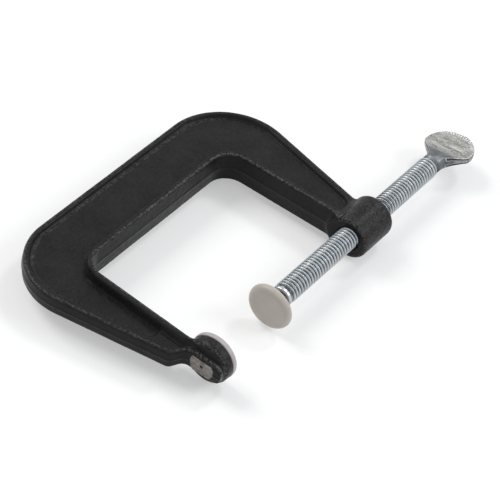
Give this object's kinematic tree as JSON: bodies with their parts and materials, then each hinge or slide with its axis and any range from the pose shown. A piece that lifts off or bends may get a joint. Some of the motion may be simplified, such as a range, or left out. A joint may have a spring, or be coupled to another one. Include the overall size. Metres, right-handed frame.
{
  "type": "c-clamp",
  "caption": "Small cast C-clamp: ribbed C frame, screw with a flat paddle head and ball tip, swivelling round pad and a fixed round pad.",
  "frame": {"origin": "centre of the fixed pad's clamping face", "axes": "+X along the screw from the fixed jaw towards the paddle head, +Y from the screw towards the spine, +Z square to the flat of the frame"},
  "size_m": [0.1633, 0.0834, 0.0164],
  "materials": {
    "frame_paint": "satin black paint on rough cast iron",
    "fixed_pad_plastic": "moulded ivory plastic, satin",
    "swivel_pad_plastic": "moulded ivory plastic, satin",
    "washer_steel": "bright zinc plate",
    "screw_zinc": "bright zinc plate, slightly blue"
  },
  "bodies": {
    "body": {"frame": "frame_paint", "anvil_pad": "fixed_pad_plastic"},
    "thrust": {"thrust_washer": "washer_steel"},
    "spindle": {"screw": "screw_zinc"},
    "pad": {"swivel_pad": "swivel_pad_plastic"}
  },
  "joints": [
    {"name": "screw_feed", "type": "slide", "parent": "body", "child": "thrust", "axis": [-1, 0, 0], "range_m": [-0.03596, 0.0254]},
    {"name": "screw_turn", "type": "hinge", "parent": "thrust", "child": "spindle", "pos_m": [0.0299, 0, 0], "axis": [-1, 0, 0], "range_deg": [-9160.4, 6467.2]},
    {"name": "pad_tilt", "type": "hinge", "parent": "thrust", "child": "pad", "pos_m": [0.0299, 0, 0], "axis": [0, 0, 1], "range_deg": [-5, 5]}
  ],
  "couplings": [
    {"joint": "screw_feed", "follows": "screw_turn", "m_per_rad": 0.00022459}
  ]
}
